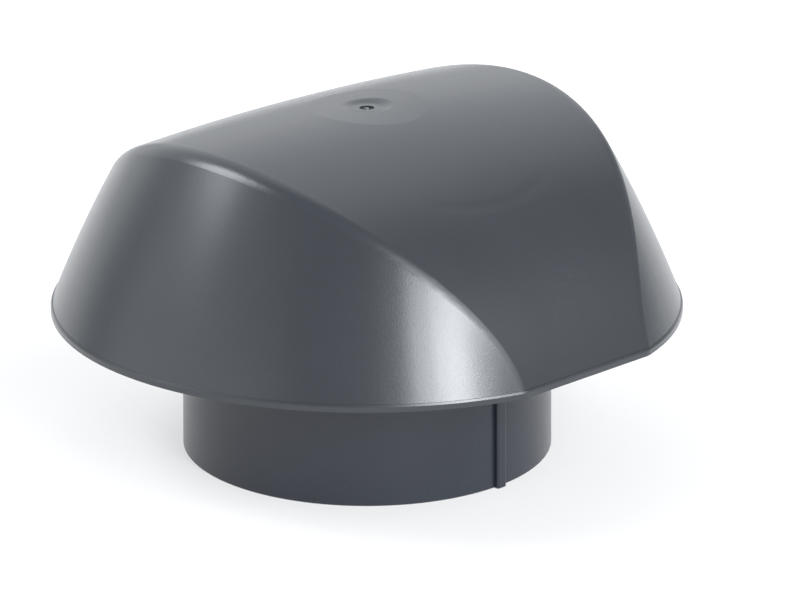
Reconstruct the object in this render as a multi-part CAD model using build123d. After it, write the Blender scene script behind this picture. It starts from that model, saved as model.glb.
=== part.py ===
from build123d import *

import os
from math import asin, cos, degrees, radians, sin, sqrt, tan

# Ventilation cap for a vent pipe: a vaulted hood carried on a round pipe collar.
# Two plastic mouldings. The collar pushes over the pipe end, the hood's two support walls sleeve
# over the top of the collar, and the air leaves between them and down under the rim.
# Millimetres. Origin at the centre of the collar's foot, +Z up, the hood's ridge along X.

os.makedirs("parts", exist_ok=True)

# Pipe socket and collar
pipe_diameter = 160.0
pipe_slack = 0.3             # radial play between pipe and socket
socket_depth = 46.0          # from the foot up to the pipe stop
socket_lead = 1.2            # chamfer that guides the pipe in
collar_wall = 2.7            # round the socket, at the foot
collar_draft = 0.7           # degrees, the collar narrows upward
collar_height = 76.0
collar_edge_break = 0.4      # small chamfer on the outer edges of the foot and the top
stop_reach = 3.0             # how far the pipe stop stands into the socket
stop_thickness = 2.5
neck_wall = 2.4              # collar wall at its top, above the pipe stop

# Locating rib on each flank of the collar
rib_width = 5.4
rib_height = 2.4
rib_round = 1.2

# Hood
rim_level = 65.0             # underside of the rim above the collar's foot
rim_radius = 140.8           # rounded ends of the rim's band
flank_inset = 5.2            # the rim's straight flanks are cut this far into that circle
band_height = 3.2            # upright band round the rim
band_step = 0.85             # how far the band stands out from the skin above it
band_edge_drop = 0.9         # bevel along the top of the band: its height,
band_edge_inset = 0.45       # and how far it leans in
ridge_rise = 92.2            # ridge above the rim's underside, at mid length
ridge_bow_radius = 1385.0    # the ridge is slightly arched along its length
end_lean = 21.8              # degrees from upright, rounded ends just above the band
end_bulge_radius = 580.0     # upright curvature of the rounded ends
crease_round = 9.0           # rounding where the vault meets the ends
hood_wall = 2.5
overrun = 20.0               # tools and untrimmed bodies run on this far past the finished part

# Moulding gate on the crown
dish_radius = 27.0
dish_depth = 0.7
dimple_radius = 11.6
dimple_depth = 1.2
dimple_floor_radius = 6.4
dimple_edge_round = 6.0
gate_radius = 3.3
gate_depth = 0.8
stub_radius = 1.4            # sheared sprue left standing in the gate
stub_top_radius = 1.1
stub_height = 0.6
well_margin = 6.0            # thickened pad under the dimple, beyond its edge

# Support walls under the hood, one on each flank
support_half_angle = 29.0    # degrees either side of the rib
support_wall = 2.2           # at the foot
support_draft = 0.3          # degrees, the wall thickens upward
support_foot_level = 53.0
sleeve_gap = 0.15            # radial play of the sleeve on the collar
key_gap = 0.3                # play each side of the rib in its slot
stop_ribs = 4                # ribs on each support that sit on the collar's top edge
stop_rib_pitch = 14.0        # degrees
stop_rib_width = 2.4

# Derived sizes
socket_radius = pipe_diameter / 2 + pipe_slack
stop_radius = socket_radius - stop_reach
stop_top = socket_depth + stop_thickness
collar_foot_radius = socket_radius + collar_wall
draft_slope = tan(radians(collar_draft))
neck_radius = collar_foot_radius - draft_slope * collar_height
neck_bore_radius = neck_radius - neck_wall
rim_half_width = rim_radius - flank_inset
ridge_level = rim_level + ridge_rise
skin_foot_level = rim_level + band_height
skin_end_radius = rim_radius - band_step
skin_half_width = rim_half_width - band_step
skin_rise = ridge_level - skin_foot_level
vault_radius = (skin_half_width**2 + skin_rise**2) / (2 * skin_rise)
vault_centre_level = ridge_level - vault_radius
construction_floor = rim_level - overrun
construction_ceiling = ridge_level + overrun


def collar_radius(level):
    # outer radius of the drafted collar wall at a height
    return collar_foot_radius - draft_slope * level


def end_radius(level, inset):
    # plan radius of the rounded ends at a height, their skin set in by inset
    centre_radius = skin_end_radius - end_bulge_radius * cos(radians(end_lean))
    centre_level = skin_foot_level - end_bulge_radius * sin(radians(end_lean))
    return centre_radius + sqrt((end_bulge_radius - inset)**2 - (level - centre_level)**2)


def swing(section, axis_level, reach):
    # sweep a section of the YZ plane both ways about a cross axis, out to a reach along X
    axis = Axis((0, 0, axis_level), (0, 1, 0))
    arm = abs(section.center().Z - axis_level)
    half_angle = degrees(asin(reach / arm))
    return revolve(section.rotate(axis, -half_angle), axis=axis, revolution_arc=2 * half_angle)


def block_below(level):
    # large block that trims away everything under a height
    size = 4 * rim_radius
    return Pos(0, 0, level) * Box(size, size, level, align=(Align.CENTER, Align.CENTER, Align.MAX))


def vault_body(inset):
    # solid under the arched vault: a round-backed section swung along the bowed ridge
    radius = vault_radius - inset
    half_floor = sqrt(radius**2 - (construction_floor - vault_centre_level)**2)
    crown = (0, vault_centre_level + radius)
    left, right = (-half_floor, construction_floor), (half_floor, construction_floor)
    outline = ThreePointArc(left, crown, right) + Line(right, left)
    return swing(Plane.YZ * make_face(outline), ridge_level - ridge_bow_radius,
                 rim_radius + overrun)


def end_body(inset):
    # solid of revolution whose convex flank makes both rounded ends
    middle = (construction_floor + construction_ceiling) / 2
    levels = (construction_floor, middle, construction_ceiling)
    flank = ThreePointArc(*[(end_radius(level, inset), level) for level in levels])
    spine = Polyline(flank @ 1, (0, construction_ceiling), (0, construction_floor), flank @ 0)
    return revolve(Plane.XZ * make_face(flank + spine), axis=Axis.Z)


def hood_form(vault, inset):
    # vault and rounded ends brought together, with the creases between them rounded
    form = vault & end_body(inset)
    creases = [edge for edge in form.edges()
               if (edge @ 0.5).Z > rim_level and abs((edge @ 0.5).X) > dish_radius + well_margin]
    return fillet(creases, crease_round - inset)


def rim_band():
    # upright band round the rim, its plan a circle with two flattened flanks
    plan = Circle(rim_radius) & Rectangle(2 * rim_radius, 2 * rim_half_width)
    plan = fillet(plan.vertices(), crease_round + band_step)
    band = extrude(Pos(0, 0, rim_level) * plan, band_height)
    ledge = band.faces().sort_by(Axis.Z)[-1]
    return chamfer(ledge.edges(), band_edge_inset, band_edge_drop, reference=ledge)


def gate_dish():
    # tool for the shallow dish: a saddle that meets the crown in a circle
    hollow = 2 * dish_depth / dish_radius**2
    across_radius = 1 / (1 / vault_radius - hollow)
    along_radius = 1 / (hollow - 1 / ridge_bow_radius)
    bottom = ridge_level - dish_depth
    half = dish_radius + overrun
    drop = across_radius - sqrt(across_radius**2 - half**2)
    saddle = ThreePointArc((-half, bottom - drop), (0, bottom), (half, bottom - drop))
    lid = Polyline(saddle @ 1, (half, construction_ceiling), (-half, construction_ceiling), saddle @ 0)
    return swing(Plane.YZ * make_face(saddle + lid), bottom + along_radius, half)


def gate_dimple():
    # tool for the flat-floored dimple and the small gate recess with its sheared stub
    floor = ridge_level - dish_depth - dimple_depth
    flare = dimple_radius - dimple_floor_radius
    bowl = Pos(0, 0, floor) * Cone(dimple_floor_radius, dimple_radius + flare, 2 * dimple_depth,
                                   align=(Align.CENTER, Align.CENTER, Align.MIN))
    recess = Pos(0, 0, floor - gate_depth) * Cylinder(
        gate_radius, 2 * gate_depth, align=(Align.CENTER, Align.CENTER, Align.MIN))
    stub = Pos(0, 0, floor - gate_depth) * Cone(
        stub_radius, stub_top_radius, stub_height, align=(Align.CENTER, Align.CENTER, Align.MIN))
    return bowl + recess - stub


def gate_well():
    # pad under the crown that keeps the wall full below the dimple
    bottom = ridge_level - dish_depth - dimple_depth - hood_wall
    top = ridge_level - dish_depth - hood_wall / 2
    return Pos(0, 0, bottom) * Cone(dimple_radius, dimple_radius + well_margin, top - bottom,
                                    align=(Align.CENTER, Align.CENTER, Align.MIN))


def support():
    # curved wall under the -Y flank, with ribs that sit on the collar and a slot for its rib
    start = -90 - support_half_angle
    rise = ridge_level - support_foot_level
    inner_foot = collar_radius(support_foot_level) + sleeve_gap
    inner_top = collar_radius(ridge_level) + sleeve_gap
    outer_foot = inner_foot + support_wall
    outer_top = outer_foot + tan(radians(support_draft)) * rise
    profile = Polyline((inner_foot, support_foot_level), (outer_foot, support_foot_level),
                       (outer_top, ridge_level), (inner_top, ridge_level), close=True)
    section = (Plane.XZ * make_face(profile)).rotate(Axis.Z, start)
    wall = revolve(section, axis=Axis.Z, revolution_arc=2 * support_half_angle)

    rib_reach = inner_foot - neck_bore_radius
    rib = Pos(neck_bore_radius + rib_reach / 2, 0, collar_height) * Box(
        rib_reach, stop_rib_width, ridge_level - collar_height,
        align=(Align.CENTER, Align.CENTER, Align.MIN))
    middle = (stop_ribs - 1) / 2
    for index in range(stop_ribs):
        wall += Rot(0, 0, -90 + (index - middle) * stop_rib_pitch) * rib

    slot_width = rib_width + 2 * key_gap
    slot_length = 2 * (collar_height + key_gap + slot_width / 2 - support_foot_level)
    slot = extrude(Plane.XZ * Pos(0, support_foot_level) * SlotOverall(
        slot_length, slot_width, rotation=90), rim_radius)
    return wall - slot


def make_hood():
    outside = hood_form(vault_body(0), 0) - block_below(skin_foot_level) + rim_band()
    inside = hood_form((vault_body(hood_wall) - gate_well()).fix(), hood_wall)
    shell = outside - inside - gate_dish() - gate_dimple()
    bends = [edge for edge in shell.edges()
             if abs(edge.bounding_box().size.Y / 2 - dimple_radius) < dimple_radius / 2
             and (edge @ 0.5).Z > ridge_level - hood_wall]
    shell = fillet(bends, dimple_edge_round)

    # the support walls run up into the skin and end inside it
    wall = support() & vault_body(hood_wall / 2)
    shell += wall
    shell += mirror(wall, about=Plane.XZ)
    return shell


def collar_rib():
    # upright locating rib on the -Y side, leaning in with the collar's draft
    depth = neck_wall / 2 + rib_height
    plan = Pos(0, rib_height - depth / 2) * Rectangle(rib_width, depth)
    plan = fillet(plan.vertices().group_by(Axis.Y)[-1], rib_round)
    bar = extrude(plan, collar_height + overrun, both=True)
    bar = Rot(0, 0, 180) * Pos(0, collar_foot_radius, 0) * Rot(collar_draft, 0, 0) * bar
    size = 4 * collar_foot_radius
    return bar & Box(size, size, collar_height, align=(Align.CENTER, Align.CENTER, Align.MIN))


def make_collar():
    profile = Polyline(
        (socket_radius + socket_lead, 0), (collar_foot_radius, 0), (neck_radius, collar_height),
        (neck_bore_radius, collar_height),
        (neck_bore_radius, stop_top + neck_bore_radius - stop_radius), (stop_radius, stop_top),
        (stop_radius, socket_depth), (socket_radius, socket_depth),
        (socket_radius, socket_lead), close=True)
    wall = revolve(Plane.XZ * make_face(profile), axis=Axis.Z)
    rib = collar_rib()
    body = wall + rib + mirror(rib, about=Plane.XZ)
    ends = body.faces().sort_by(Axis.Z)
    outer_edges = ends[0].outer_wire().edges() + ends[-1].outer_wire().edges()
    return chamfer(outer_edges, collar_edge_break)


if __name__ == "__main__":
    export_step(make_hood(), "parts/hood.step")
    export_step(make_collar(), "parts/collar.step")
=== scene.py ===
from math import atan2, cos, hypot, radians, sin

import bpy
from mathutils import Matrix, Vector

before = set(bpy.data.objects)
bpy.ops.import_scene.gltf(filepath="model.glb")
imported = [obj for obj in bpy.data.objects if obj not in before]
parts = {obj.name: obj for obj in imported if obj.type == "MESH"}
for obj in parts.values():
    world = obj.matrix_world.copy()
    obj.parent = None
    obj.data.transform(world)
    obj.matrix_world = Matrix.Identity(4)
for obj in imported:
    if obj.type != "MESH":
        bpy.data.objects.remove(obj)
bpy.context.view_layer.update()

# Ventilation cap: vaulted hood on a round pipe collar, both moulded in anthracite plastic.
# Metres, z up, the hood's ridge along x, the pipe's axis on z.

mm = 0.001


class Wire:
    # one socket of a material, so that shader maths reads as plain expressions
    def __init__(self, tree, socket=None):
        self.tree = tree
        self.socket = socket

    def node(self, kind, settings=None, inputs=None, output=0):
        made = self.tree.nodes.new(kind)
        for name, value in (settings or {}).items():
            setattr(made, name, value)
        for key, value in (inputs or {}).items():
            if isinstance(value, Wire):
                self.tree.links.new(value.socket, made.inputs[key])
            else:
                made.inputs[key].default_value = value
        return Wire(self.tree, made.outputs[output])

    def maths(self, operation, first, second=0.0):
        return self.node("ShaderNodeMath", {"operation": operation}, {0: first, 1: second})

    def __add__(self, other):
        return self.maths("ADD", self, other)

    def __radd__(self, other):
        return self.maths("ADD", other, self)

    def __sub__(self, other):
        return self.maths("SUBTRACT", self, other)

    def __rsub__(self, other):
        return self.maths("SUBTRACT", other, self)

    def __mul__(self, other):
        return self.maths("MULTIPLY", self, other)

    def __rmul__(self, other):
        return self.maths("MULTIPLY", other, self)

    def __truediv__(self, other):
        return self.maths("DIVIDE", self, other)

    def __rtruediv__(self, other):
        return self.maths("DIVIDE", other, self)

    def size(self):
        # without its sign
        return self.maths("ABSOLUTE", self)

    def between(self, low, high):
        # rises smoothly from 0 at low to 1 at high
        return self.node("ShaderNodeMapRange", {"interpolation_type": "SMOOTHSTEP"},
                         {"Value": self, "From Min": low, "From Max": high})

    def bell(self, centre, width):
        # 1 at centre, falling away softly on both sides
        return 1 - ((self - centre).size() / width).between(0.0, 1.0)

    def scaled(self, factors):
        # vector times a vector
        return self.node("ShaderNodeVectorMath", {"operation": "MULTIPLY"}, {0: self, 1: factors})

    def along(self, axis):
        # vector measured along an axis
        return self.node("ShaderNodeVectorMath", {"operation": "DOT_PRODUCT"}, {0: self, 1: axis}, 1)

    def length(self):
        return self.node("ShaderNodeVectorMath", {"operation": "LENGTH"}, {0: self}, 1)

    def grain(self, width, detail):
        # noise from 0 to 1 whose features are about this wide
        return self.node("ShaderNodeTexNoise", None, {"Vector": self, "Scale": 1 / width, "Detail": detail})

    def tint(self, dark, light):
        # colour between two colours; a Mix node's colours are its sockets 6 and 7
        return self.node("ShaderNodeMix", {"data_type": "RGBA"},
                         {"Factor": self, 6: (*dark, 1), 7: (*light, 1)}, 2)

    def bump(self):
        # surface direction over a relief whose height is in metres
        return self.node("ShaderNodeBump", None, {"Strength": 1.0, "Distance": 1.0, "Height": self})


def newMaterial(name):
    material = bpy.data.materials.new(name)
    material.use_nodes = True
    return material, material.node_tree.nodes["Principled BSDF"]


def placeIn(material):
    # where a point lies on the part
    return Wire(material.node_tree).node("ShaderNodeTexCoord", output="Object")


def plug(shader, values):
    # what varies is linked, what is the same all over is set on the socket
    for name, value in values.items():
        if isinstance(value, Wire):
            value.tree.links.new(value.socket, shader.inputs[name])
        else:
            shader.inputs[name].default_value = value


# hood: satin plastic with a fine spark-eroded grain, cloudy by a shade
hoodLook = {
    "dark": (0.019, 0.022, 0.026),
    "light": (0.025, 0.029, 0.034),
    "cloudWidth": 60 * mm,
    "cloudDetail": 3.0,
    "roughness": 0.24,
    "roughnessSpread": 0.05,
    "grainWidth": 0.65 * mm,
    "grainDetail": 2.0,
    "grainShare": 0.7,
    "fineGrainWidth": 0.5 * mm,
    "fineGrainDetail": 1.0,
    "fineGrainShare": 0.3,
    "grainHeight": 0.04 * mm,
    "grainGloss": 0.12,
    "sinkDepth": 0.09 * mm,
    "sinkWidth": 4.0 * mm,
    "sinkRadius": 84 * mm,      # the support walls under the flanks, from the pipe's axis
    "sinkHalfAngle": 29,        # degrees either side of a flank's middle
    "sinkFadeFrom": 0.5,        # the sink's ends fade over these shares of its reach
    "sinkFadeTo": 1.05,
}


def hoodPlastic():
    look = hoodLook
    material, shader = newMaterial("hoodPlastic")
    place = placeIn(material)
    clouds = place.grain(look["cloudWidth"], look["cloudDetail"])
    coarse = place.grain(look["grainWidth"], look["grainDetail"])
    fine = place.grain(look["fineGrainWidth"], look["fineGrainDetail"])
    roughness = (look["roughness"] + (clouds - 0.5) * look["roughnessSpread"]
                 + (fine - 0.5) * look["grainGloss"])

    # shallow sink over the support walls under the two flanks
    reach = look["sinkRadius"] * sin(radians(look["sinkHalfAngle"]))
    past = place.along((1, 0, 0)).size().between(reach * look["sinkFadeFrom"], reach * look["sinkFadeTo"])
    planRadius = place.scaled((1, 1, 0)).length()
    sink = planRadius.bell(look["sinkRadius"], look["sinkWidth"]) * (1 - past)

    grain = coarse * look["grainShare"] + fine * look["fineGrainShare"]
    height = grain * look["grainHeight"] - sink * look["sinkDepth"]
    plug(shader, {"Base Color": clouds.tint(look["dark"], look["light"]),
                  "Roughness": roughness, "Normal": height.bump()})
    return material


# collar: the same plastic from a smoother tool, a little darker
collarLook = {
    "dark": (0.011, 0.014, 0.021),
    "light": (0.015, 0.019, 0.027),
    "cloudWidth": 45 * mm,
    "cloudDetail": 3.0,
    "roughness": 0.28,
    "roughnessSpread": 0.06,
    "grainWidth": 0.7 * mm,
    "grainDetail": 2.0,
    "grainHeight": 0.015 * mm,
}


def collarPlastic():
    look = collarLook
    material, shader = newMaterial("collarPlastic")
    place = placeIn(material)
    clouds = place.grain(look["cloudWidth"], look["cloudDetail"])
    height = place.grain(look["grainWidth"], look["grainDetail"]) * look["grainHeight"]
    plug(shader, {"Base Color": clouds.tint(look["dark"], look["light"]),
                  "Roughness": look["roughness"] + (clouds - 0.5) * look["roughnessSpread"],
                  "Normal": height.bump()})
    return material


def dress(node, material):
    part = parts[node]
    part.data.materials.clear()
    part.data.materials.append(material)


print("finishes of the two mouldings")
dress("hood", hoodPlastic())
dress("collar", collarPlastic())


# pale floor that glows a little, and a room that is a shade brighter at the horizon
studio = {
    "floorSize": 40.0,
    "floorColour": (0.42, 0.42, 0.42),
    "floorRoughness": 0.9,
    "floorGlow": 0.45,
    "roomColour": (0.95, 0.97, 1.0),
    "horizon": 0.45,
    "ceiling": 0.44,
    "boxShowsFrom": 0.02,       # a box shows only in its own half of the room, faded in between these
    "boxShowsFully": 0.06,
}

# soft boxes, far off: heading and height of their middle in degrees, then half the width, half the
# height and the softness of the edge in metres for a box one metre away, and how brightly they glow
softBoxes = {
    "key": {"heading": -99.5, "height": 20, "wide": 0.09, "tall": 0.18, "soft": 0.07, "glow": 15.0},
    "keyWide": {"heading": -105.5, "height": 23, "wide": 0.165, "tall": 0.22, "soft": 0.04, "glow": 15.0},
    "keyHigh": {"heading": -86, "height": 34, "wide": 0.15, "tall": 0.10, "soft": 0.08, "glow": 16.0},
    "fill": {"heading": -73, "height": 39, "wide": 0.36, "tall": 0.28, "soft": 0.18, "glow": 4.8},
    "rear": {"heading": 135, "height": 44.5, "wide": 0.23, "tall": 0.26, "soft": 0.12, "glow": 10.4},
    "far": {"heading": 67, "height": 40, "wide": 0.90, "tall": 0.68, "soft": 0.37, "glow": 0.91},
    "left": {"heading": 156, "height": 9, "wide": 0.73, "tall": 0.37, "soft": 0.33, "glow": 1.1},
    "right": {"heading": -68, "height": 9, "wide": 0.22, "tall": 0.16, "soft": 0.18, "glow": 1.3},
    "side": {"heading": 84, "height": 1, "wide": 0.27, "tall": 0.27, "soft": 0.15, "glow": 0.5},
}


def makeFloor():
    half = studio["floorSize"] / 2
    corners = [(-half, -half, 0), (half, -half, 0), (half, half, 0), (-half, half, 0)]
    mesh = bpy.data.meshes.new("studioFloor")
    mesh.from_pydata(corners, [], [(0, 1, 2, 3)])
    floor = bpy.data.objects.new("studioFloor", mesh)
    bpy.context.collection.objects.link(floor)
    material, shader = newMaterial("paleFloor")
    plug(shader, {"Base Color": (*studio["floorColour"], 1), "Roughness": studio["floorRoughness"],
                  "Emission Color": (1, 1, 1, 1), "Emission Strength": studio["floorGlow"]})
    mesh.materials.append(material)


def direction(heading, height):
    heading, height = radians(heading), radians(height)
    return Vector((cos(heading) * cos(height), sin(heading) * cos(height), sin(height)))


def softBox(towards, box):
    # brightness of one soft box in every direction
    centre = direction(box["heading"], box["height"])
    across = Vector((0, 0, 1)).cross(centre).normalized()
    depth = towards.along(centre)
    shine = depth.between(studio["boxShowsFrom"], studio["boxShowsFully"])
    for axis, half in ((across, box["wide"]), (centre.cross(across), box["tall"])):
        off = (towards.along(axis) / depth).size()
        shine = shine * (1 - off.between(half - box["soft"], half + box["soft"]))
    return shine * box["glow"]


def makeRoom():
    world = bpy.data.worlds.new("studioRoom")
    world.use_nodes = True
    towards = Wire(world.node_tree).node("ShaderNodeTexCoord", output="Generated")
    rise = towards.along((0, 0, 1)).between(0.0, 1.0)
    brightness = studio["horizon"] + rise * (studio["ceiling"] - studio["horizon"])
    for box in softBoxes.values():
        brightness = brightness + softBox(towards, box)
    plug(world.node_tree.nodes["Background"],
         {"Color": (*studio["roomColour"], 1), "Strength": brightness})
    bpy.context.scene.world = world


# the photograph's view: where the camera stands, seen from the middle of the collar's foot,
# and where that point falls in the picture
shot = {
    "heading": -43.89,
    "height": 20.95,
    "roll": -0.089,
    "distance": 1.9148,
    "lens": 190.77,
    "sensorWidth": 36.0,
    "nearest": 0.05,
    "farthest": 100.0,
    "pictureWidth": 800,
    "pictureHeight": 591,
    "footX": 367.34,
    "footY": 437.86,
}


def makeCamera():
    camera = bpy.data.cameras.new("photoCamera")
    camera.sensor_width = shot["sensorWidth"]
    camera.sensor_fit = "HORIZONTAL"
    camera.lens = shot["lens"]
    camera.clip_start, camera.clip_end = shot["nearest"], shot["farthest"]
    heading, height = radians(shot["heading"]), radians(shot["height"])
    back = Vector((sin(heading) * cos(height), -cos(heading) * cos(height), sin(height)))
    right = Vector((cos(heading), sin(heading), 0))
    facing = Matrix((right, back.cross(right), back))

    # turn the camera so that the foot's middle falls on its place in the picture
    focal = shot["lens"] / shot["sensorWidth"] * shot["pictureWidth"]
    offX = shot["footX"] - shot["pictureWidth"] / 2
    offY = shot["footY"] - shot["pictureHeight"] / 2
    pan = Matrix.Rotation(-atan2(offX, focal), 3, "Y")
    tilt = Matrix.Rotation(-atan2(offY, hypot(focal, offX)), 3, "X")
    roll = Matrix.Rotation(-radians(shot["roll"]), 3, "Z")
    turned = (pan @ tilt @ roll @ facing).transposed()
    seen = bpy.data.objects.new("photoCamera", camera)
    seen.matrix_world = Matrix.Translation(back * shot["distance"]) @ turned.to_4x4()
    bpy.context.collection.objects.link(seen)
    bpy.context.scene.camera = seen


print("studio: floor, room light, soft boxes and camera")
makeFloor()
makeRoom()
makeCamera()
bpy.context.scene.view_settings.view_transform = "Standard"
